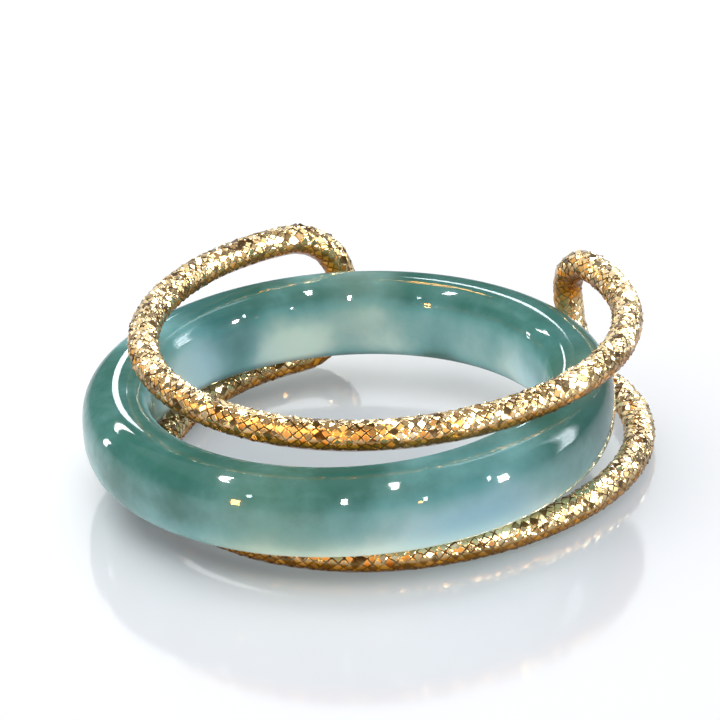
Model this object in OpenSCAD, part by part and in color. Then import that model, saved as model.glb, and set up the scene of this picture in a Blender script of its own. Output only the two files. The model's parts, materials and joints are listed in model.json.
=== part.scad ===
// Double ring: a polished stone band, held between the two open loops of one bent wire.
// Millimetres. +Z is up, the front is towards -Y and the open back of the wire towards +Y.
// The origin is on the surface that the ring lies on, under the middle of its box.

/* [Band] */
// Outer diameter of the band
band_d = 23; // [22:0.1:23.4]
// Diameter of the finger hole
band_bore = 17; // [14:0.1:17.6]
// Height of the band, from its lower to its upper rim
band_h = 3.6; // [3:0.02:3.62]
// How far the outside bulges out past the highest line of the rim
band_crown = 1.7; // [1:0.05:2]
// Squareness of the bulging outside, where 2 is an ellipse
crown_power = 2.75; // [2:0.05:3]
// Squareness of the inside, where a high value is a flat wall with rounded rims
bore_power = 3; // [2.5:0.1:6]

/* [Wire] */
// Thickness of the wire
wire_d = 1.3; // [0.8:0.05:1.35]
// Radius of both loops at the front, to the middle of the wire
loop_r = 9.95; // [9.9:0.05:10.2]
// Height from the middle of the lower loop to the middle of the upper one
loop_rise = 5.35; // [5.3:0.05:6.5]
// Angle each side of the front at which the loops reach their end bends
loop_reach = 153.7; // [140:0.1:156]
// Radius of the corners of the two end bends
bend_r = 2.3; // [1.5:0.1:2.6]
// How far the loops flare outwards on the way to the end bends
flare = 1.27; // [1.2:0.01:2]
// How far the two end bends bow outwards between the loops
bend_bow = 0.42; // [0.2:0.02:1]
// How much longer than round the loops are, each way
oval = 0.46; // [0.3:0.02:0.6]

/* [Lie] */
// Height of the band's middle above the surface
band_lift = 3.21; // [3.2:0.01:3.3]
// Lean of the band to the left, where the wire stands inside its hole
lean_left = 1.24; // [1:0.02:1.4]
// Lean of the band to the front
lean_front = 0.64; // [0.4:0.02:0.8]
// Turn of the wire's open back to the right
wire_turn = 17.7; // [10:0.1:25]
// How far the wire lies to the right of the band
wire_right = 1.85; // [1.7:0.01:2]
// How far the wire lies behind the band
wire_back = 0.85; // [0.7:0.01:1]

/* [Hidden] */

// The band's middle, so that the whole part's box is centred on the origin
band_x = -0.91;
band_y = -0.95;

band_wall = (band_d - band_bore) / 2;
// Radius of the rim's highest line, where the outside and the inside profiles meet
rim_r = band_d / 2 - band_crown;
// The profile has a point this often. Its points stand either side of level, so the finger
// wall has a true cylinder in its middle
profile_step = 5;

// The two loops and the end bends are one outline, a flat rounded rectangle that is
// wrapped round a drum of this radius
drum_r = 10.45;
// The flare starts at this angle from the front
flare_from = 25.5;
// Direction of the long way of the oval, from the wire's front
oval_turn = -17.4;
// The upper loop stands this far from a place straight above the lower one
upper_left = 0.43;
upper_back = 0.66;
// The upper loop sinks to the right and climbs to the back by these angles
upper_sink = 0.84;
upper_climb = 0.45;

loop_steps = 72;
rise_steps = 2;
bend_step = 11.25;
wire_sides = 12;

half_run = loop_reach / 180 * PI * drum_r;

// A curve between a circle and a square, as one coordinate of a unit outline
function squared(value, power) = sign(value) * pow(abs(value), 2 / power);

// The band's cross-section, as radius and height
function band_point(angle) =
    let (power = cos(angle) > 0 ? crown_power : bore_power,
         reach = cos(angle) > 0 ? band_crown : band_wall - band_crown)
    [rim_r + reach * squared(cos(angle), power), band_h / 2 * squared(sin(angle), power)];

// The wire's flat outline, as distance along the drum and height above the lower loop
function run(from, to, steps) = [for (i = [0:steps - 1]) from + (to - from) * i / steps];
function bend(centre, start) =
    [for (a = [start:bend_step:start + 90 - bend_step]) centre + bend_r * [cos(a), sin(a)]];
outline = concat(
    run([bend_r - half_run, 0], [half_run - bend_r, 0], loop_steps),
    bend([half_run - bend_r, bend_r], -90),
    run([half_run, bend_r], [half_run, loop_rise - bend_r], rise_steps),
    bend([half_run - bend_r, loop_rise - bend_r], 0),
    run([half_run - bend_r, loop_rise], [bend_r - half_run, loop_rise], loop_steps),
    bend([bend_r - half_run, loop_rise - bend_r], 90),
    run([-half_run, loop_rise - bend_r], [-half_run, bend_r], rise_steps),
    bend([bend_r - half_run, bend_r], 180));

function eased(x) = let (t = min(max(x, 0), 1)) t * t * (3 - 2 * t);

// Radius of the wire's middle at an angle from its front and a share of the way up
function wire_r(angle, up) =
    loop_r + flare * eased((abs(angle) - flare_from) / (loop_reach - flare_from))
    + bend_bow * sin(180 * up) + oval * cos(2 * (angle - oval_turn));

// A point of the flat outline, wrapped into its place beside the band's axis
function wrapped(point) =
    let (angle = point[0] / drum_r * 180 / PI,
         up = point[1] / loop_rise,
         r = wire_r(angle, up),
         x = r * sin(angle - wire_turn) - upper_left * up,
         y = -r * cos(angle - wire_turn) + upper_back * up)
    [x + wire_right, y + wire_back,
     wire_d / 2 + point[1] + up * (y * tan(upper_climb) - x * tan(upper_sink))];

wire_path = [for (point = outline) wrapped(point)];

function unit(v) = v / norm(v);

// A ring of points round the wire, whose first point is the one furthest from the hole
function wire_ring(i) =
    let (n = len(wire_path),
         here = wire_path[i],
         along = unit(wire_path[(i + 1) % n] - wire_path[(i + n - 1) % n]),
         outwards = [here[0] - wire_right, here[1] - wire_back, 0],
         side = unit(outwards - (outwards * along) * along),
         up = cross(along, side))
    [for (j = [0:wire_sides - 1])
        let (a = 360 * j / wire_sides)
        here + wire_d / 2 * (cos(a) * side + sin(a) * up)];

module stone_band() {
    color("cadetblue")
    translate([band_x, band_y, band_lift])
    rotate([lean_front, -lean_left, 0])
    rotate_extrude($fn = 180)
    polygon([for (a = [profile_step / 2:profile_step:360]) band_point(a)]);
}

module wire_loops() {
    n = len(wire_path);
    color("gold")
    translate([band_x, band_y, 0])
    polyhedron(
        points = [for (i = [0:n - 1]) each wire_ring(i)],
        faces = [for (i = [0:n - 1], j = [0:wire_sides - 1])
            let (here = i * wire_sides,
                 next = (i + 1) % n * wire_sides,
                 k = (j + 1) % wire_sides)
            each [[here + j, here + k, next + k], [here + j, next + k, next + j]]]);
}

stone_band();
wire_loops();
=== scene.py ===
# %% [markdown]
# A double ring in Blender, step by step. A polished band of cloudy blue-green stone lies
# flat between the two open loops of one bent gold wire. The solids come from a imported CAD
# model, which fixes where everything is, and this script gives each piece its real surface.
# Each step says what the real thing is, how it could be made, and why this way was chosen.

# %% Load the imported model
import json
import math
import random

import bmesh
import bpy
from mathutils import Matrix, Vector


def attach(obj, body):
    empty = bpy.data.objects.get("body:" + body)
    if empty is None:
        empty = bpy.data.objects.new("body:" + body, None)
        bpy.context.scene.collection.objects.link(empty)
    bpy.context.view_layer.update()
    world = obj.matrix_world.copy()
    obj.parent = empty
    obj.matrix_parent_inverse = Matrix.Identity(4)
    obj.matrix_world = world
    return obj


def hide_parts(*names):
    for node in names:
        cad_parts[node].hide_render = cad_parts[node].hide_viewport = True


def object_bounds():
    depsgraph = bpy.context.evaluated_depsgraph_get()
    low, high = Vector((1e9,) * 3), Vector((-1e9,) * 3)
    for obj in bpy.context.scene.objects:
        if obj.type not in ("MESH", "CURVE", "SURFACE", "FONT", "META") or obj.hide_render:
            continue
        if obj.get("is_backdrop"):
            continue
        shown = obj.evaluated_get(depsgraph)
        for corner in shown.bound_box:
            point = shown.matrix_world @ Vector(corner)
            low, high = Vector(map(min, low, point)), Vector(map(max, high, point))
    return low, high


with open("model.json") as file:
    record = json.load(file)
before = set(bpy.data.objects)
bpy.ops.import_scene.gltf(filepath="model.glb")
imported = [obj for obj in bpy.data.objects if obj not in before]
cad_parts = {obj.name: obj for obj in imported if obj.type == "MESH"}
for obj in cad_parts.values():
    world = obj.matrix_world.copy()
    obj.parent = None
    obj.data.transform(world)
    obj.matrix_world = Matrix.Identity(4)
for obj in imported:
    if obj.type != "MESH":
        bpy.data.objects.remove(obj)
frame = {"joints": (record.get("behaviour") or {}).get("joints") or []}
cad_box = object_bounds()
band_turn = frame["joints"][0]
band_middle = Vector(band_turn["pos_m"])
band_axis = Vector(band_turn["axis"]).normalized()
print("CAD box", [round(x * 1000, 2) for corner in cad_box for x in corner], "mm")

# %% [markdown]
# Lengths are in metres inside Blender, and a ring is small, so every size below is written
# in millimetres times MM. Angles are written in degrees and turned into radians once.

# %% Units
MM = 0.001


def unit_box(low, high):
    """The size of a box from its two corners, in millimetres."""
    return [round((b - a) / MM, 2) for a, b in zip(low, high)]


# %% [markdown]
# The photograph was taken from a little above with a long close-up lens, and the camera was
# held slightly out of level. A long lens far away keeps both loops nearly the same size. The
# camera stands on the line through the point that the photograph has in its middle.

# %% Camera
CAMERA_ELEVATION = 24.46
CAMERA_ROLL = 2.08
CAMERA_DISTANCE = 231.7 * MM
CAMERA_LENS = 268.5
# The photograph's middle, to the right of and above the band's own middle
AIM_RIGHT = 0.49 * MM
AIM_UP = 2.09 * MM


def add_camera():
    """A camera at the photograph's angle to the ring."""
    eye = bpy.data.cameras.new("camera")
    eye.lens = CAMERA_LENS
    eye.sensor_width = 36
    eye.clip_start = 1 * MM
    eye.clip_end = 5
    camera = bpy.data.objects.new("camera", eye)
    bpy.context.collection.objects.link(camera)
    tip = Matrix.Rotation(math.radians(90 - CAMERA_ELEVATION), 4, "X")
    turn = tip @ Matrix.Rotation(math.radians(-CAMERA_ROLL), 4, "Z")
    offset = turn @ Vector((AIM_RIGHT, AIM_UP, CAMERA_DISTANCE))
    camera.matrix_world = Matrix.Translation(band_middle + offset) @ turn
    bpy.context.scene.camera = camera
    return camera


camera = add_camera()
print("camera at", [round(x / MM, 1) for x in camera.location], "mm")

# %% [markdown]
# A material is a small program. Node trees written out by hand hide the sums that they do,
# so one class wraps a socket and takes part in Python's own sums: mask * 0.5 adds a Math
# node, and so does 1 - mask.


# %% Sums on values
class Value:
    """A number that varies over a surface. Sums with it add Math nodes."""

    def __init__(self, finish, socket):
        self.finish = finish
        self.socket = socket

    def __add__(self, other):
        return self.finish.sum("ADD", self, other)

    def __radd__(self, other):
        return self.finish.sum("ADD", other, self)

    def __sub__(self, other):
        return self.finish.sum("SUBTRACT", self, other)

    def __rsub__(self, other):
        return self.finish.sum("SUBTRACT", other, self)

    def __mul__(self, other):
        return self.finish.sum("MULTIPLY", self, other)

    def __rmul__(self, other):
        return self.finish.sum("MULTIPLY", other, self)

    def size(self):
        """The value without its sign."""
        return self.finish.node("ShaderNodeMath", {"operation": "ABSOLUTE"}, {0: self})

    def between(self, low, high):
        """0 below low, 1 above high, and a smooth step from one to the other."""
        return self.finish.node(
            "ShaderNodeMapRange",
            {"interpolation_type": "SMOOTHSTEP"},
            {"Value": self, "From Min": low, "From Max": high},
        )


# %% [markdown]
# A second class is the material itself. One of its methods adds any node: its settings
# first, then what goes into its sockets. The others are the few patterns that this ring
# needs, such as a place counted from a middle, a distance, a noise and a blend of colours.


# %% Nodes for materials
class Finish:
    """A material, and the nodes that it is made of."""

    def __init__(self, name):
        self.material = bpy.data.materials.new(name)
        self.material.use_nodes = True
        self.tree = self.material.node_tree
        self.tree.nodes.clear()

    def node(self, kind, settings=None, sockets=None, output=0):
        """Adds a node: its settings first, then the values or links of its sockets."""
        added = self.tree.nodes.new(kind)
        for name, value in (settings or {}).items():
            setattr(added, name, value)
        for name, value in (sockets or {}).items():
            if isinstance(value, Value):
                self.tree.links.new(value.socket, added.inputs[name])
            else:
                added.inputs[name].default_value = value
        return Value(self, added.outputs[output]) if added.outputs else None

    def sum(self, operation, first, second):
        """A Math node on two values or numbers."""
        return self.node("ShaderNodeMath", {"operation": operation}, {0: first, 1: second})

    def place(self, middle):
        """Object coordinates, counted from a middle."""
        here = self.node("ShaderNodeTexCoord", output="Object")
        shift = [-x for x in middle]
        return self.node("ShaderNodeMapping", sockets={"Vector": here, "Location": shift})

    def attribute(self, name):
        """A value that the mesh keeps at its points."""
        return self.node("ShaderNodeAttribute", {"attribute_name": name}, output="Fac")

    def height(self, place):
        """How high a place is."""
        return self.node("ShaderNodeSeparateXYZ", sockets={"Vector": place}, output="Z")

    def span(self, place):
        """How far a place is from the upright line through the middle."""
        flat = {0: place, 1: (1, 1, 0)}
        flat = self.node("ShaderNodeVectorMath", {"operation": "MULTIPLY"}, flat)
        return self.node("ShaderNodeVectorMath", {"operation": "LENGTH"}, {0: flat}, "Value")

    def distance(self, place, middle):
        """How far a place is from a middle."""
        ends = {0: place, 1: middle}
        return self.node("ShaderNodeVectorMath", {"operation": "DISTANCE"}, ends, "Value")

    def stir(self, place, size, reach):
        """Places moved about at random by up to half the reach, like milk in tea."""
        swirl = {"Vector": place, "Scale": 1 / size, "Detail": 2.0}
        swirl = self.node("ShaderNodeTexNoise", sockets=swirl, output="Color")
        centred = {0: swirl, 1: (0.5, 0.5, 0.5)}
        centred = self.node("ShaderNodeVectorMath", {"operation": "SUBTRACT"}, centred)
        moved = {0: centred, 1: (reach, reach, reach), 2: place}
        return self.node("ShaderNodeVectorMath", {"operation": "MULTIPLY_ADD"}, moved)

    def noise(self, place, size, detail=2.0, roughness=0.5):
        """Clouds whose lumps are about size across, as a value around 0.5."""
        lumps = {"Vector": place, "Scale": 1 / size, "Detail": detail, "Roughness": roughness}
        return self.node("ShaderNodeTexNoise", sockets=lumps)

    def blend(self, share, first, second):
        """A colour between two colours."""
        mixed = {"Factor": share, 6: first, 7: second}
        return self.node("ShaderNodeMix", {"data_type": "RGBA"}, mixed, output=2)

    def bump(self, height, distance):
        """Small unevenness, as high as distance where the height is 1."""
        return self.node("ShaderNodeBump", sockets={"Height": height, "Distance": distance})

    def surface(self, **sockets):
        """The shader itself, whose sockets are named with _ for each space."""
        named = {name.replace("_", " "): value for name, value in sockets.items()}
        shader = self.node("ShaderNodeBsdfPrincipled", sockets=named)
        self.node("ShaderNodeOutputMaterial", sockets={"Surface": shader})
        print(self.material.name, "has", len(self.tree.nodes), "nodes")
        return self.material


# %% [markdown]
# A screen's numbers from 0 to 255 are not in proportion to the light, and Blender's are. A
# colour that was judged on a screen is turned into Blender's numbers here.


# %% Colours
def paint(red, green, blue):
    """A screen's colour in Blender's linear numbers."""

    def linear(x):
        x = x / 255
        return x / 12.92 if x <= 0.04045 else ((x + 0.055) / 1.055) ** 2.4

    return (linear(red), linear(green), linear(blue), 1.0)


# %% [markdown]
# The ring lies on a sheet of glossy white acrylic, which mirrors it faintly. A plane is
# enough for the sheet. It is a little darker in the middle of the ring, where gold and
# stone keep light away from it. It is stage and not part of the ring.

# %% Floor
FLOOR_HALF = 900 * MM
FLOOR_WHITE = paint(245, 245, 247)
FLOOR_SHADE = paint(208, 209, 212)
# The shade fades out between these distances from the ring's middle
SHADE_FADE = (3 * MM, 8.5 * MM)


def add_floor():
    """A glossy white sheet under the ring."""
    bm = bmesh.new()
    bmesh.ops.create_grid(bm, x_segments=1, y_segments=1, size=FLOOR_HALF)
    mesh = bpy.data.meshes.new("floor")
    bm.to_mesh(mesh)
    bm.free()
    floor = bpy.data.objects.new("floor", mesh)
    bpy.context.collection.objects.link(floor)
    finish = Finish("white_acrylic")
    away = finish.span(finish.place(band_middle)).between(*SHADE_FADE)
    colour = finish.blend(away, FLOOR_SHADE, FLOOR_WHITE)
    mesh.materials.append(finish.surface(Base_Color=colour, Roughness=0.1, IOR=1.45))
    floor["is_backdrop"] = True
    return floor


floor = add_floor()

# %% [markdown]
# The band is a ring of stone with a D-shaped section: its outside bulges, its finger wall
# is nearly flat and its rims are rounded. A ring of points in the shape of the section,
# spun round the finger's axis, gives a mesh with even quads, which gloss needs. Each side
# of the section is a curve between a circle and a square, as in the CAD model.

# %% Stone band mesh
BAND_RADIUS = 11.5 * MM
BORE_RADIUS = 8.5 * MM
BAND_HALF_HEIGHT = 1.8 * MM
BAND_CROWN = 1.7 * MM
CROWN_POWER = 2.75
BORE_POWER = 3.0
RIM_RADIUS = BAND_RADIUS - BAND_CROWN
SECTION_POINTS = 96
BAND_STEPS = 288


def squared(value, power):
    """One coordinate of a unit curve between a circle and a square."""
    return math.copysign(abs(value) ** (2 / power), value)


def section_point(point):
    """A point of the unit circle, moved to the band's section in the XZ plane."""
    outside = point.x > 0
    power = CROWN_POWER if outside else BORE_POWER
    reach = BAND_CROWN if outside else RIM_RADIUS - BORE_RADIUS
    radius = RIM_RADIUS + reach * squared(point.x, power)
    return Vector((radius, 0, BAND_HALF_HEIGHT * squared(point.y, power)))


def finished(bm, name):
    """A piece from a bmesh."""
    mesh = bpy.data.meshes.new(name)
    bm.to_mesh(mesh)
    bm.free()
    piece = bpy.data.objects.new(name, mesh)
    bpy.context.collection.objects.link(piece)
    print(name, len(mesh.polygons), "faces", unit_box(*piece_box(mesh)), "mm")
    return piece


def piece_box(mesh):
    """Lowest and highest corner of a mesh."""
    axes = list(zip(*(v.co for v in mesh.vertices)))
    return [min(a) for a in axes], [max(a) for a in axes]


lean = Vector((0, 0, 1)).rotation_difference(band_axis).to_matrix().to_4x4()
lie = Matrix.Translation(band_middle) @ lean


def make_band():
    """The stone band, spun from its section."""
    bm = bmesh.new()
    bmesh.ops.create_circle(bm, segments=SECTION_POINTS, radius=1)
    for v in bm.verts:
        v.co = section_point(v.co)
    bmesh.ops.spin(
        bm,
        geom=bm.verts[:] + bm.edges[:],
        axis=(0, 0, 1),
        cent=(0, 0, 0),
        angle=math.tau,
        steps=BAND_STEPS,
        use_merge=True,
    )
    bmesh.ops.recalc_face_normals(bm, faces=bm.faces)
    for face in bm.faces:
        face.smooth = True
    bmesh.ops.transform(bm, matrix=lie, verts=bm.verts)
    return finished(bm, "jade_band")


band = make_band()
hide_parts("stone_band")
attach(band, "band")

# %% [markdown]
# The stone isn't evenly coloured: milky, bluish and darker clouds lie in it. Noise alone
# would put them anywhere, so each cloud is a soft ball with its own place in the band's
# wall. Places are moved about by a noise first, which gives the balls ragged outlines.

# %% Clouds in the stone
# Angle round the band from its back, height and size in mm, and how milky
CLOUDS = [
    (-18, -1.1, 3.2, 1.35),
    (-30, 0.5, 2.4, -0.50),
    (-38, 0.9, 2.2, -0.30),
    (-9, 0.6, 1.8, 0.75),
    (11, -0.5, 2.8, 0.35),
    (28, -1.4, 2.2, -0.60),
    (20, 0.9, 1.8, -0.25),
    (7, 0.6, 1.8, 0.55),
    (-56, -0.9, 3.6, 1.60),
    (-2, -0.2, 2.8, 0.50),
    (17, -1.0, 2.6, 0.25),
    (64, -1.1, 3.4, 0.85),
    (42, -0.1, 2.2, 0.30),
    (172, -2.2, 4.0, 0.60),
    (-166, -2.6, 3.2, 0.50),
    (153, -2.1, 4.0, 0.60),
    (180, 2.1, 2.0, -0.40),
    (160, -0.4, 3.2, 0.65),
    (141, -0.6, 3.4, 0.85),
    (-161, -0.3, 2.2, 0.15),
    (-140, -0.6, 3.4, -0.40),
    (-120, -1.5, 3.6, -0.60),
    (104, 0.2, 3.4, -0.60),
]
# Places where the milk is bluish: angle, height and size
BLUE_CLOUDS = [(-48, -0.7, 5.4), (151, -1.3, 5.5), (73, -0.7, 4.0), (110, -0.4, 3.4)]
# A yellower place at the front left, and an ivory one at the back
LEAF_CLOUD = (-163, -1.2, 4.2)
IVORY_CLOUD = (4, 0.8, 3.0)
# The middle of the band's wall, and the share of a cloud that is evenly milky
WALL_RADIUS = 10 * MM
CLOUD_HEART = 0.1
# How far the places are moved, and the size of that noise and of a finer one
STIR_REACH = 1.4 * MM
STIR_SIZE = 3 * MM
MOTTLE_SIZE = 1.6 * MM


def cloud(finish, place, angle, level, size):
    """1 in a cloud's heart, fading to 0 at a distance of size mm from its middle."""
    a = math.radians(angle)
    middle = (math.sin(a) * WALL_RADIUS, math.cos(a) * WALL_RADIUS, level * MM)
    return 1 - finish.distance(place, middle).between(CLOUD_HEART * size * MM, size * MM)


print("clouds in the stone:", len(CLOUDS), "of milk and shade,", len(BLUE_CLOUDS), "bluish")

# %% [markdown]
# How milky the stone is at a place decides its colour there, from deep green by way of blue-green to
# white. The lower outside is painted milkiest, which is painted light from the floor, and the rims of
# the finger wall and the top are painted clearest, which is painted shade.
# Light goes into the stone, scatters and comes out some millimetres away, which subsurface
# scattering does. Real jade carries the floor's light further than the shader can, so a
# weak emission in the lower outside and in the milk of the finger wall stands in for it.

# %% Stone colours
STONE_GREEN = paint(66, 124, 110)
STONE_TEAL = paint(144, 196, 192)
STONE_MILK = paint(226, 238, 228)
STONE_BLUE_MILK = paint(200, 236, 250)
STONE_BLUE = paint(104, 190, 204)
STONE_LEAF = paint(140, 166, 118)
STONE_IVORY = paint(196, 204, 186)
# Painted shade for the lower rim of the finger wall
STONE_EDGE_SHADE = paint(30, 78, 68)
STONE_SHINE = paint(212, 222, 196)
BLACK = (0, 0, 0, 1)
# How much of its colour each kind of place takes on. The edge is a painted shade on the lower rim of
# the finger wall
BLUE_SHARE = 0.35
LEAF_SHARE = 0.45
IVORY_SHARE = 0.35
EDGE_SHADE_SHARE = 0.9
print("deep green is", [round(x, 3) for x in STONE_GREEN[:3]], "in Blender's numbers")

# %% Stone finish
# How milky the stone is everywhere, and how much more or less it is in some places. More milk on the
# lower outside is painted light from the floor, and less at the rims of the finger wall and on top is
# painted shade
MILK = 0.34
PAINTED_LIGHT_BELOW = 0.39
MORE_INSIDE = 0.14
PAINTED_SHADE_AT_RIMS = 0.45
PAINTED_SHADE_ON_TOP = 0.3
MOTTLE = 0.5
# Distances from the finger's axis between which the inside becomes the outside
OUTSIDE = (9.6 * MM, 10.9 * MM)
# Heights over the band's middle between which the milk and the shine change: the painted light below,
# the painted shade on top, at the rims and at the lower edge of the finger wall, and the shine. Those
# of the rims count both ways
BELOW = (-1.8 * MM, 0.3 * MM)
ON_TOP = (0.0, 1.6 * MM)
RIMS = (0.7 * MM, 1.8 * MM)
LOWER_EDGE_SHADE = (-1.75 * MM, -1.1 * MM)
SHINE_BELOW = (-1.9 * MM, -0.2 * MM)
# How milky the stone is where it starts and ends to be teal, to be white and to shine
TEAL_MILK = (-0.1, 0.55)
WHITE_MILK = (0.4, 1.2)
SHINE_MILK = (0.3, 1.3)
INNER_SHINE_MILK = (0.4, 1.4)
INNER_SHINE = 0.4


def jade_finish():
    """Polished blue-green jade."""
    finish = Finish("polished_jade")
    place = finish.place(band_middle)
    stirred = finish.stir(place, STIR_SIZE, STIR_REACH)
    height = finish.height(place)
    outside = finish.span(place).between(*OUTSIDE)
    # Painted light: the lower outside is made milkier, standing in for the floor's light coming through
    # the stone
    below = 1 - height.between(*BELOW)
    # Painted shade: the rims of the finger wall are made clearer, and so darker
    rim_shade = height.size().between(*RIMS)
    inner_milk_and_rim_shade = MORE_INSIDE - rim_shade * PAINTED_SHADE_AT_RIMS
    # The stone's own milk, with the painted light below and the painted shade on top and at the rims
    # added in
    milk_and_shading = MILK + outside * below * PAINTED_LIGHT_BELOW + (1 - outside) * inner_milk_and_rim_shade
    # Painted shade: the top of the outside is made clearer, and so darker
    milk_and_shading = milk_and_shading - outside * height.between(*ON_TOP) * PAINTED_SHADE_ON_TOP
    for angle, level, size, share in CLOUDS:
        milk_and_shading = milk_and_shading + cloud(finish, stirred, angle, level, size) * share
    mottle = finish.noise(place, MOTTLE_SIZE, detail=4, roughness=0.6) - 0.5
    milk_and_shading = milk_and_shading + mottle * MOTTLE
    blue = sum(cloud(finish, stirred, *spot) for spot in BLUE_CLOUDS)
    body = finish.blend(milk_and_shading.between(*TEAL_MILK), STONE_GREEN, STONE_TEAL)
    milky = finish.blend(blue, STONE_MILK, STONE_BLUE_MILK)
    body = finish.blend(milk_and_shading.between(*WHITE_MILK), body, milky)
    body = finish.blend(blue * BLUE_SHARE, body, STONE_BLUE)
    leaf = cloud(finish, stirred, *LEAF_CLOUD)
    body = finish.blend(leaf * LEAF_SHARE, body, STONE_LEAF)
    ivory = cloud(finish, stirred, *IVORY_CLOUD)
    body = finish.blend(ivory * IVORY_SHARE, body, STONE_IVORY)
    # Painted shade along the lower rim of the finger wall
    edge = (1 - outside) * (1 - height.between(*LOWER_EDGE_SHADE))
    body = finish.blend(edge * EDGE_SHADE_SHARE, body, STONE_EDGE_SHADE)
    lit_below = outside * (1 - height.between(*SHINE_BELOW))
    shine = lit_below * milk_and_shading.between(*SHINE_MILK)
    inner_shine = (1 - outside) * (1 - edge) * milk_and_shading.between(*INNER_SHINE_MILK)
    shine = shine + inner_shine * INNER_SHINE
    return finish.surface(
        Base_Color=body,
        Emission_Color=finish.blend(shine, BLACK, STONE_SHINE),
        Emission_Strength=0.40,
        Roughness=0.04,
        IOR=1.66,
        Subsurface_Weight=1.0,
        Subsurface_Scale=2.5 * MM,
        Subsurface_Radius=(0.6, 1.0, 0.95),
    )


band.data.materials.append(jade_finish())

# %% [markdown]
# The wire is one closed loop. Laid flat, it is a long rounded rectangle: the lower loop,
# an end bend, the upper loop and the other end bend. Wrapped round a drum and flared
# towards its ends, it becomes the two open loops. The same sums place the CAD model's wire.

# %% Wire path
WIRE_RADIUS = 0.65 * MM
LOOP_RADIUS = 9.95 * MM
LOOP_RISE = 5.35 * MM
LOOP_REACH = math.radians(153.7)
BEND_RADIUS = 2.3 * MM
FLARE = 1.27 * MM
FLARE_FROM = math.radians(25.5)
BEND_BOW = 0.42 * MM
OVAL = 0.46 * MM
OVAL_TURN = math.radians(-17.4)
DRUM_RADIUS = 10.45 * MM
WIRE_TURN = math.radians(17.7)
WIRE_RIGHT = 1.85 * MM
WIRE_BACK = 0.85 * MM
UPPER_LEFT = 0.43 * MM
UPPER_BACK = 0.66 * MM
UPPER_SINK = math.tan(math.radians(0.84))
UPPER_CLIMB = math.tan(math.radians(0.45))
# Two points this far apart give the wire's direction
TINY_STEP = 0.05 * MM

half_run = LOOP_REACH * DRUM_RADIUS
straight = 2 * (half_run - BEND_RADIUS)
quarter = math.pi / 2 * BEND_RADIUS
rise = LOOP_RISE - 2 * BEND_RADIUS
HALF_WIRE = straight + 2 * quarter + rise


def outline(distance):
    """The flat outline at a distance: how far along the drum, and how high."""
    if distance >= HALF_WIRE:
        along, height = outline(distance - HALF_WIRE)
        return -along, LOOP_RISE - height
    if distance < straight:
        return BEND_RADIUS - half_run + distance, 0.0
    distance -= straight
    if distance < quarter:
        turn = distance / BEND_RADIUS
        along = half_run - BEND_RADIUS * (1 - math.sin(turn))
        return along, BEND_RADIUS * (1 - math.cos(turn))
    distance -= quarter
    if distance < rise:
        return half_run, BEND_RADIUS + distance
    turn = (distance - rise) / BEND_RADIUS
    along = half_run - BEND_RADIUS * (1 - math.cos(turn))
    return along, LOOP_RISE - BEND_RADIUS * (1 - math.sin(turn))


def eased(value, low, high):
    """A smooth step from 0 at low to 1 at high."""
    t = min(max((value - low) / (high - low), 0), 1)
    return t * t * (3 - 2 * t)


loops_middle = Vector((band_middle.x + WIRE_RIGHT, band_middle.y + WIRE_BACK, 0))


def wire_middle(distance):
    """The middle of the wire at a distance along it."""
    along, height = outline(distance % (2 * HALF_WIRE))
    angle = along / DRUM_RADIUS
    up = height / LOOP_RISE
    radius = LOOP_RADIUS + FLARE * eased(abs(angle), FLARE_FROM, LOOP_REACH)
    radius += BEND_BOW * math.sin(math.pi * up) + OVAL * math.cos(2 * (angle - OVAL_TURN))
    x = radius * math.sin(angle - WIRE_TURN) - UPPER_LEFT * up
    y = -radius * math.cos(angle - WIRE_TURN) + UPPER_BACK * up
    z = WIRE_RADIUS + height + up * (y * UPPER_CLIMB - x * UPPER_SINK)
    return loops_middle + Vector((x, y, z))


def wire_frame(distance):
    """The wire's middle there, its direction, the way outwards and the way across."""
    middle = wire_middle(distance)
    before, after = wire_middle(distance - TINY_STEP), wire_middle(distance + TINY_STEP)
    along = (after - before).normalized()
    outwards = Vector((middle.x - loops_middle.x, middle.y - loops_middle.y, 0))
    side = (outwards - outwards.dot(along) * along).normalized()
    return middle, along, side, along.cross(side)


print("wire outline", round(2 * HALF_WIRE / MM, 1), "mm round")

# %% [markdown]
# A goldsmith rolls and cuts such a wire, which leaves rows of small scales, each tilted its
# own way, so that some flash and others stay dark. Bump alone would look painted at the
# outline, so the scales are real. Where the wire slides on the stone and the finger they
# wear down: they fade out underneath and are shallower on the legs of the end bends.

# %% Depth of the scales
# The skin is plain where its normal's z is below the first of these, and fully cut above
# the second
UNDERSIDE = (-0.85, -0.45)
# The share of the depth that is left on the legs, and the share of the rise, counted from
# halfway up, over which the rest comes back
LEG_DEPTH = 0.6
LEG = (0.15, 0.4)


def depth_at(place, normal):
    """How deep the scales are cut there, from 0 to 1."""
    height = (place.z - WIRE_RADIUS) / LOOP_RISE
    leg = eased(abs(height - 0.5), *LEG)
    return eased(normal.z, *UNDERSIDE) * (LEG_DEPTH + (1 - LEG_DEPTH) * leg)


def scale_depth(face):
    """How deep one scale is cut."""
    return depth_at(face.calc_center_median(), face.normal)


front = wire_middle(straight / 2)
for slope in (1, 0, -0.65, -1):
    print("depth where the normal's z is", slope, "=", round(depth_at(front, Vector((0, 0, slope))), 2))

# %% [markdown]
# A grid, rolled up along the path, is cut into diamonds: every face gets a middle point,
# and the old edges are dissolved. Moving the points about a little keeps the rows from
# looking machine-made.

# %% Diamonds round the wire
ROWS = 256
SCALES_ROUND = 10
# How far a grid face's middle point is raised
MIDDLE_RISE = 0.018 * MM
# Points closer than this are one, at the seams where the grid meets itself
SEAM = 0.001 * MM
# How far a point is moved about, each way
WANDER = 0.060 * MM


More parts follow.
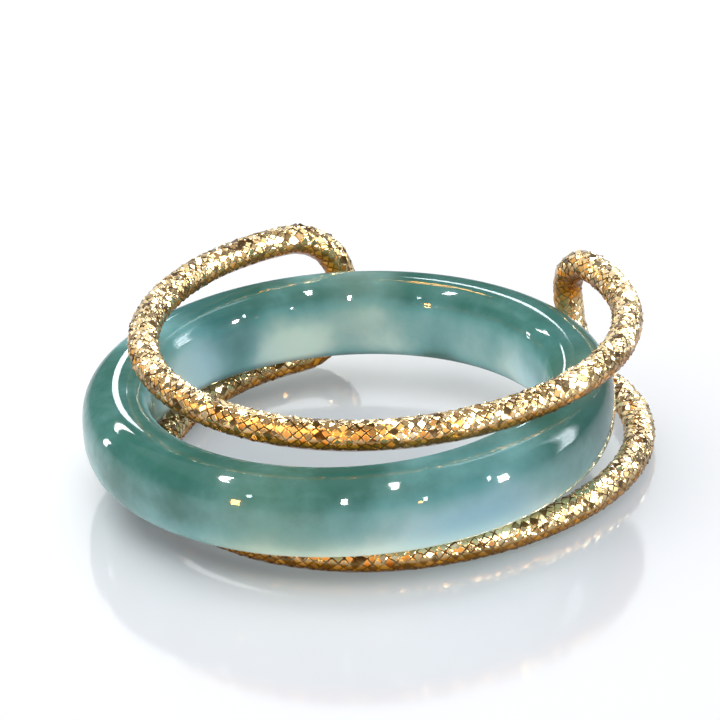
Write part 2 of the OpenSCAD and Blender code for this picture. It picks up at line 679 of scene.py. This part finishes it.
def wire_point(share_along, share_round):
    """A point of the wire's skin."""
    middle, _, side, across = wire_frame(share_along * 2 * HALF_WIRE)
    a = share_round * math.tau
    return middle + WIRE_RADIUS * (math.cos(a) * side + math.sin(a) * across)


def roll_diamonds(bm):
    """A tube along the path, whose faces are diamonds."""
    bmesh.ops.create_grid(bm, x_segments=ROWS, y_segments=SCALES_ROUND, size=0.5)
    for v in bm.verts:
        v.co = wire_point(v.co.x + 0.5, v.co.y + 0.5)
    bmesh.ops.remove_doubles(bm, verts=bm.verts, dist=SEAM)
    bmesh.ops.recalc_face_normals(bm, faces=bm.faces)
    grid_edges = bm.edges[:]
    bmesh.ops.poke(bm, faces=bm.faces[:], offset=MIDDLE_RISE)
    bmesh.ops.dissolve_edges(bm, edges=grid_edges, use_verts=False)


def random_vector(dice):
    """A vector with each part from -1 to 1."""
    return Vector(dice.uniform(-1, 1) for _ in range(3))


def move_about(bm, dice):
    """Moves every point a little along the skin."""
    for v in bm.verts:
        wander = random_vector(dice) * WANDER
        v.co += wander - wander.dot(v.normal) * v.normal


print("a diamond is", round(2 * HALF_WIRE / ROWS / MM, 2), "mm long")

# %% [markdown]
# Each diamond is inset, and its plateau is lifted and tilted, some more than others. The
# slope that is left round it meets the plateau and the groove in sharp edges, so it
# flashes like a cut.

# %% Cutting the scales
# The slope round each scale's flat top: how wide and how high it is
SLOPE_WIDTH = 0.048 * MM
SLOPE_HEIGHT = 0.030 * MM
# How far a scale tilts, and how far the one in so many that is cut askew does
SCALE_TILT = 0.25
ODD_TILT = 0.42
ODD_SCALES = 7
# Edges are sharp where the scales are cut deeper than this
SHARP_DEPTH = 0.2


def raise_scale(face, rise, tilt):
    """Lifts a face along its normal, and tips it."""
    middle = face.calc_center_median()
    normal = face.normal.copy()
    for v in face.verts:
        v.co += normal * (rise + (v.co - middle).dot(tilt))


def cut_scales(bm, scales, depths, dice):
    """Insets the faces, and lifts and tilts each one's plateau."""
    steeps = [ODD_TILT if dice.randrange(ODD_SCALES) == 0 else SCALE_TILT for _ in scales]
    tilts = [random_vector(dice) * steep * depth for steep, depth in zip(steeps, depths)]
    bmesh.ops.inset_individual(bm, faces=scales, thickness=SLOPE_WIDTH, use_even_offset=True)
    for face, depth, tilt in zip(scales, depths, tilts):
        raise_scale(face, SLOPE_HEIGHT * depth, tilt)
    bm.normal_update()


def sharpen(bm, grooves):
    """Marks the grooves and the plateaus' rims sharp, where the scales are deep enough."""
    for face in bm.faces:
        face.smooth = True
    for edge in bm.edges:
        deep = all(scale_depth(face) > SHARP_DEPTH for face in edge.link_faces)
        down_a_slope = sum(v in grooves for v in edge.verts) == 1
        edge.smooth = not deep or down_a_slope


print("a slope rises", SLOPE_HEIGHT / MM, "mm over", SLOPE_WIDTH / MM, "mm")

# %% [markdown]
# The finish can't tell grooves from plateaus, so the mesh keeps three values at its points: how dark it
# is there, how far the skin looks down, and each scale's own shade. Deep grooves get painted shade, and
# a few scales are darkened as painted dark reflections. In the photograph the back left of the upper
# loop has the most dark strokes, so darkened scales are commoner there.

# %% Shades of the scales
# The skin starts to look down at the first of these, its normal's z, and ends at the second
DOWN = (0.45, -0.7)
# One scale in so many is darkened, as a painted dark reflection, by an amount between these, if it is
# cut deep enough
DARKENED_SCALES = 7
DARKENING = (0.2, 0.6)
DARKENING_DEPTH = (0.3, 0.7)
# At the back left of the upper loop this many times as many come on top of them. It grows
# over this distance from the loops' middle
MORE_DARKENED = 1.2
MORE_DARKENED_FADE = 3 * MM


def back_left(place):
    """1 at the back left of the upper loop, and 0 elsewhere."""
    left = eased(loops_middle.x - place.x, 0, MORE_DARKENED_FADE)
    back = eased(place.y - loops_middle.y, 0, MORE_DARKENED_FADE)
    return left * back * eased(place.z, LOOP_RISE / 2, LOOP_RISE / 2 + MM)


def keep_shades(bm, grooves, scales, depths, dice):
    """Keeps the three values at the mesh's points."""
    values = bm.verts.layers.float
    dark, under, shade = values["painted_dark"], values["under"], values["shade"]
    for v in bm.verts:
        # Painted shade in the grooves, at random and as deep as the scales are cut
        v[dark] = dice.random() * depth_at(v.co, v.normal) if v in grooves else 0.0
        v[under] = eased(v.normal.z, *DOWN)
    darkened_count = 0
    for face, depth in zip(scales, depths):
        tone = 0.5 + dice.uniform(-0.5, 0.5) * depth
        dark_amount = dice.uniform(*DARKENING)
        likely = (1 + MORE_DARKENED * back_left(face.calc_center_median())) / DARKENED_SCALES
        darkened = dark_amount if dice.random() < likely else 0.0
        darkened_count += darkened > 0
        for v in face.verts:
            v[shade] = tone
            # Painted dark reflection over the whole darkened scale
            v[dark] = darkened * eased(depth, *DARKENING_DEPTH)
    print(darkened_count, "of", len(scales), "scales are dull")


# %% [markdown]
# Now the wire is made from these steps. The dice have a fixed seed, so that every run cuts
# the same scales.

# %% Wire mesh
WIRE_SEED = 11


def make_wire():
    """The gold wire, with its scales."""
    dice = random.Random(WIRE_SEED)
    bm = bmesh.new()
    for name in ("painted_dark", "under", "shade"):
        bm.verts.layers.float.new(name)
    roll_diamonds(bm)
    move_about(bm, dice)
    grooves = set(bm.verts)
    scales = bm.faces[:]
    depths = [scale_depth(face) for face in scales]
    cut_scales(bm, scales, depths, dice)
    keep_shades(bm, grooves, scales, depths, dice)
    sharpen(bm, grooves)
    return finished(bm, "gold_wire")


wire = make_wire()
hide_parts("wire_loops")
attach(wire, "wire")
# The gold throws no stray flecks of its lamps' light on the floor and the stone
wire.visible_diffuse = False

# %% [markdown]
# Yellow gold is a metal without a coat: a warm colour, little roughness, and fine marks that spread
# each flash a little. Light goes back and forth between gold, stone and floor and gets more orange each
# time, which a render cuts short. So light and shade are painted into the skin: it is pale gold on top,
# amber at the sides as painted warm light and brown below as painted shade, and the amber has a weak
# glow of its own that stands in for that light.

# %% Gold colours
GOLD_SHADED = (0.80, 0.58, 0.26, 1)
GOLD_BRIGHT = (1.0, 0.87, 0.58, 1)
AMBER_SHADED = (0.17, 0.055, 0.005, 1)
AMBER_BRIGHT = (0.72, 0.29, 0.025, 1)
# Painted shade for the underside of the wire
GOLD_BROWN_SHADE = (0.12, 0.042, 0.006, 1)
# Painted shade of the grooves, and painted dark reflection of the darkened scales
GOLD_PAINTED_DARK = (0.05, 0.025, 0.006, 1)
EMBER_SHADED = (0.16, 0.07, 0.01, 1)
EMBER_BRIGHT = (0.95, 0.40, 0.03, 1)
print("gold from", GOLD_BRIGHT[:3], "on top to", GOLD_BROWN_SHADE[:3], "below")

# %% Gold finish
# The scales' own shades, and soft patches over several of them
SCALE_SHARE = 0.8
PATCH_SHARE = 0.2
PATCH_SIZE = 1.5 * MM
MARK_SIZE = 0.05 * MM
MARK_HEIGHT = 0.0006 * MM
# Where the painted shade of the grooves and the painted dark of the darkened scales starts and ends to
# show
PAINTED_DARK_RANGE = (0.15, 0.5)
# How far the skin looks down where the painted amber light and the painted brown shade start and are
# full
AMBER_LIGHT_FROM_TO = (0.0, 0.6)
BROWN_SHADE_FROM_TO = (0.65, 0.98)
BROWN_SHADE_SHARE = 0.8
# Grooves are filled with light from below by this share in the amber
GROOVE_FILL = 0.75
# Shades between which a scale's glow grows
EMBER = (0.1, 0.9)


def gold_finish():
    """Cut and polished yellow gold."""
    finish = Finish("yellow_gold")
    place = finish.place(loops_middle)
    patches = finish.noise(place, PATCH_SIZE, detail=3)
    shade = finish.attribute("shade") * SCALE_SHARE + patches * PATCH_SHARE
    marks = finish.noise(place, MARK_SIZE)
    down = finish.attribute("under")
    # Painted warm light at the sides, and painted shade below
    painted_amber_light = down.between(*AMBER_LIGHT_FROM_TO)
    painted_brown_shade = down.between(*BROWN_SHADE_FROM_TO)
    painted_dark = finish.attribute("painted_dark").between(*PAINTED_DARK_RANGE) * (1 - painted_amber_light * GROOVE_FILL)
    gold = finish.blend(shade, GOLD_SHADED, GOLD_BRIGHT)
    gold = finish.blend(painted_amber_light, gold, finish.blend(shade, AMBER_SHADED, AMBER_BRIGHT))
    gold = finish.blend(painted_brown_shade * BROWN_SHADE_SHARE, gold, GOLD_BROWN_SHADE)
    ember = painted_amber_light * (1 - painted_brown_shade) * (1 - painted_dark) * shade.between(*EMBER)
    return finish.surface(
        Base_Color=finish.blend(painted_dark, gold, GOLD_PAINTED_DARK),
        Metallic=1.0,
        Emission_Color=finish.blend(ember, EMBER_SHADED, EMBER_BRIGHT),
        Emission_Strength=0.20,
        Roughness=0.07 + marks * 0.08,
        Normal=finish.bump(marks, MARK_HEIGHT),
    )


wire.data.materials.append(gold_finish())

# %% [markdown]
# Polished things show their lamps, so a photographer sets cards and lamps for each surface
# and shades the others from them. Light linking does the same here. A panel's place is an
# azimuth, 0 behind the ring and 90 to its right, and an elevation. Its power is worked out
# from the brightness of its face, which is what a reflection shows.

# %% Lamps and panels
WHITE = (1.0, 0.99, 0.97)
COOL = (0.85, 0.93, 1.0)
DAY = (0.95, 0.97, 1.0)
CREAM = (1.0, 0.95, 0.85)
AMBER = (1.0, 0.62, 0.24)
WARM = (1.0, 0.46, 0.09)


def add_lamp(name, place, turn, width, height, glow, colour):
    """A flat lamp whose face has the brightness glow. It shines along its own -Z."""
    light = bpy.data.lights.new(name, "AREA")
    light.shape = "RECTANGLE"
    light.size = width
    light.size_y = height
    light.energy = glow * math.pi * width * height
    light.color = colour
    lamp = bpy.data.objects.new(name, light)
    bpy.context.collection.objects.link(lamp)
    lamp.matrix_world = Matrix.Translation(place) @ turn.to_4x4()
    return lamp


def add_panel(name, azimuth, elevation, distance, width, height, glow, colour=WHITE):
    """A panel that faces the ring from a direction. Its measures are in mm."""
    a, e = math.radians(azimuth), math.radians(elevation)
    away = Vector((math.sin(a) * math.cos(e), math.cos(a) * math.cos(e), math.sin(e)))
    turn = away.to_track_quat("Z", "Y").to_matrix()
    place = band_middle + away * distance * MM
    return add_lamp(name, place, turn, width * MM, height * MM, glow, colour)


def only_on(lamp, *pieces):
    """Keeps a lamp's light off all but these pieces, as cards on stands do."""
    reach = bpy.data.collections.new(lamp.name + "_reach")
    for piece in pieces:
        reach.objects.link(piece)
    lamp.light_linking.receiver_collection = reach
    return reach


print("colours of light:", WHITE, COOL, DAY, CREAM, AMBER, WARM)

# %% [markdown]
# A wide dim ceiling and two broad fills light the floor and the stone. The fills show in no
# reflection. Two bright strips far behind the ring, for the stone alone, draw the thin
# lines of light on its rims.

# %% Panels for the floor and the stone
ceiling = add_panel("ceiling", 0, 89, 450, 900, 900, 0.25, DAY)
only_on(ceiling, floor, band)
sky_fill = add_panel("sky_fill", -80, 68, 600, 1600, 1300, 1.2, DAY)
sky_fill.visible_glossy = False
front_fill = add_panel("front_fill", 180, 45, 450, 500, 400, 0.3)
front_fill.visible_glossy = False
rim_strip = add_panel("rim_strip", -6, 24.5, 1490, 58, 150, 8, COOL)
only_on(rim_strip, band)
rim_line = add_panel("rim_line", 1, 24.5, 1490, 60, 45, 7, COOL)
only_on(rim_line, band)
print("fills", round(sky_fill.data.energy, 2), "and", round(front_fill.data.energy, 2), "watts")

# %% [markdown]
# Gold is nothing but reflections. Dim walls round it give it its body, small bright lamps
# its flashes, and the dark room between them makes it look like metal. The lamps in front
# are amber, as the front of the wire is in the photograph. A very bright amber lamp would
# burn out to pale yellow, so these are dimmer than the white ones.

# %% Lamps for the gold
GOLD_LAMP_DISTANCE = 400
# Azimuth, elevation, width and height in mm, and brightness
GOLD_LAMPS = [
    ("gold_ceiling", 0, 86, 620, 460, 0.22, AMBER),
    ("gold_back", 0, 23, 700, 300, 0.86, WHITE),
    ("gold_left_wall", -82, 24, 440, 240, 0.8, AMBER),
    ("gold_right_wall", 100, 22, 400, 260, 1.3, CREAM),
    ("gold_front_wall", -166, 20, 620, 340, 0.9, WARM),
    ("gold_ember", -152, 44, 220, 150, 1.6, WARM),
    ("gold_hearth", 180, 56, 260, 160, 1.2, AMBER),
    ("gold_spark", 178, 30, 80, 70, 2.6, WARM),
    ("gold_spark_left", -152, 22, 110, 90, 2.4, WARM),
    ("gold_amber_left", -128, 28, 150, 120, 2.6, AMBER),
    ("gold_spark_right", 160, 42, 80, 80, 2.6, WARM),
    ("gold_front_left", -120, 48, 110, 100, 3, AMBER),
    ("gold_far_left", -98, 38, 110, 100, 3.2, AMBER),
    ("gold_left", -42, 50, 110, 100, 9, WHITE),
    ("gold_left_flash", -50, 20, 70, 60, 10, WHITE),
    ("gold_high_left", -24, 56, 80, 70, 8, WHITE),
    ("gold_high_right", 24, 54, 90, 80, 9, WHITE),
    ("gold_back_flash", 26, 30, 100, 90, 9, WHITE),
    ("gold_right", 62, 48, 75, 70, 9, WHITE),
    ("gold_low_back", 14, 8, 80, 60, 9, WHITE),
    ("gold_floor_right", 132, 9, 150, 90, 10, WHITE),
    ("gold_right_flash", 48, 14, 90, 80, 9, WHITE),
    ("gold_side_flash", 90, 16, 70, 60, 9, WHITE),
    ("gold_low_right", 118, 18, 170, 110, 10, WHITE),
    ("gold_near_right", 144, 30, 80, 80, 9, WHITE),
    ("gold_far_right", 106, 42, 100, 95, 9, WHITE),
    ("gold_front_right", 125, 44, 95, 85, 9, WHITE),
]
for name, azimuth, elevation, *face in GOLD_LAMPS:
    lamp = add_panel(name, azimuth, elevation, GOLD_LAMP_DISTANCE, *face)
    only_on(lamp, wire)
print(len(GOLD_LAMPS), "lamps for the gold")

# %% [markdown]
# The floor mirrors a pale screen far behind the ring, and so does the gold. The room itself
# is a plain dim glow from everywhere. The view stays Standard, so that the colours come out
# as they were picked.

# %% Screen and room
ROOM_COLOUR = (0.9, 0.93, 1.0, 1)
ROOM_GLOW = 0.12

back_screen = add_panel("back_screen", 0, 24.5, 1500, 300, 360, 2.0)
only_on(back_screen, floor, wire)


def add_room():
    """The room round the table, as a plain glow."""
    world = bpy.data.worlds.new("room")
    world.use_nodes = True
    glow = world.node_tree.nodes["Background"]
    glow.inputs["Color"].default_value = ROOM_COLOUR
    glow.inputs["Strength"].default_value = ROOM_GLOW
    bpy.context.scene.world = world


add_room()
bpy.context.scene.view_settings.view_transform = "Standard"
print("screen at", [round(x / MM) for x in back_screen.location], "mm")

# %% [markdown]
# Each small spot on the stone is the mirror image of a lamp. The camera's line of sight to
# the spot is mirrored in the polished surface there, and the lamp stands along the mirrored
# line. The section curves far more than the band's round does, so it squeezes a lamp into a
# thin dash. A tall lamp, turned along the section's own curve, gives a round spot instead.

# %% Mirrored lines of sight
SPOT_DISTANCE = 400 * MM
# The section's own curve is measured over this many degrees
SLOPE_STEP = 1.0


def rim_point(slope):
    """A point of the band's section. Slope 0 is the outside, and 90 the upper rim."""
    t = math.radians(slope)
    return section_point(Vector((math.cos(t), math.sin(t), 0)))


def sight_line(angle, slope):
    """A place on the band, and the camera's line of sight mirrored in it. The angle goes
    round the band, from 0 at the back to 90 at the right."""
    low, high = rim_point(slope - SLOPE_STEP / 2), rim_point(slope + SLOPE_STEP / 2)
    normal = Vector((high.z - low.z, 0, low.x - high.x)).normalized()
    round_band = Matrix.Rotation(math.radians(90 - angle), 4, "Z")
    place = lie @ (round_band @ ((low + high) / 2))
    normal = lie.to_3x3() @ (round_band.to_3x3() @ normal)
    return place, (place - camera.location).normalized().reflect(normal)


def add_spot(name, angle, slope, glow, colour, width, height):
    """A tall lamp whose mirror image shows at one place on the band. It is measured in mm."""
    place, away = sight_line(angle, slope)
    _, beside = sight_line(angle, slope + SLOPE_STEP)
    upright = (beside - away).cross(away).cross(-away).normalized()
    turn = Matrix((upright.cross(away), upright, away)).transposed()
    print(name, "lamp at elevation", round(math.degrees(math.asin(away.z)), 1))
    place = place + away * SPOT_DISTANCE
    return add_lamp(name, place, turn, width * MM, height * MM, glow, colour)


# %% [markdown]
# The large soft highlight at the right is a window: three panels in one another, the
# smallest the brightest, which fade it out towards its edge. The wire stands in their way
# and would cut the highlight in two, so they pass it: only the band blocks them.

# %% Spots and windows on the stone
# Angle round the band, slope, brightness, colour, width and height in mm
SPOTS = [
    ("spot_left_high", -151.2, 60.4, 55, WHITE, 12, 160),
    ("spot_left_low", -155.1, 21.5, 60, WARM, 26, 180),
    ("spot_left_mid", -158.1, 37.2, 16, COOL, 12, 80),
    ("spot_front", -178.6, 33.1, 55, WHITE, 15, 140),
    ("spot_front_high", 170.3, 53, 55, WHITE, 13, 220),
    ("spot_pair_cool", 164.3, 24, 26, COOL, 11, 90),
    ("spot_pair_warm", 165.5, 19, 26, WARM, 13, 90),
    ("spot_right", 149.4, 31.4, 26, COOL, 12, 90),
    ("spot_right_low", 146, 22, 77, WHITE, 30, 190),
    ("spot_side_high", -112.9, 69.6, 12, WHITE, 12, 130),
    ("spot_side_low", -113.9, 34, 14, WHITE, 26, 170),
    ("window_right", 125, 36.5, 1.1, COOL, 110, 420),
    ("window_middle", 125, 36.5, 2.0, COOL, 85, 320),
    ("window_heart", 125, 36.5, 3.6, COOL, 60, 230),
    ("window_high", 138, 70, 2, COOL, 120, 60),
    ("spot_back_left", 24.5, 101.2, 22, WARM, 10, 14),
    ("spot_back_right", 31.9, 98.2, 22, WARM, 10, 14),
]
for spot in SPOTS:
    lamp = add_spot(*spot)
    lamp.visible_diffuse = False
    reach = only_on(lamp, band)
    if lamp.name.startswith("window"):
        lamp.light_linking.blocker_collection = reach


# %% [markdown]
# Close up, a lens spreads the brightest flashes into soft points of light. The compositor's
# Glare node does the same to the picture, and only to what is brighter than white.

# %% Glow of the lens
GLOW_FROM = 1.5
GLOW_STRENGTH = 0.6
GLOW_SIZE = 0.12


def add_glow():
    """A soft bloom round flashes."""
    scene = bpy.context.scene
    scene.use_nodes = True
    tree = scene.node_tree
    tree.nodes.clear()
    picture = tree.nodes.new("CompositorNodeRLayers")
    glare = tree.nodes.new("CompositorNodeGlare")
    glare.glare_type = "BLOOM"
    glare.inputs["Threshold"].default_value = GLOW_FROM
    glare.inputs["Strength"].default_value = GLOW_STRENGTH
    glare.inputs["Size"].default_value = GLOW_SIZE
    result = tree.nodes.new("CompositorNodeComposite")
    tree.links.new(picture.outputs["Image"], glare.inputs["Image"])
    tree.links.new(glare.outputs["Image"], result.inputs["Image"])


add_glow()

# %% [markdown]
# The last step prints the box of the CAD model and the box of what is shown, so that the two can be
# compared.

# %% Finish
dressed_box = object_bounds()
print("CAD", unit_box(*cad_box), "mm, dressed", unit_box(*dressed_box), "mm")
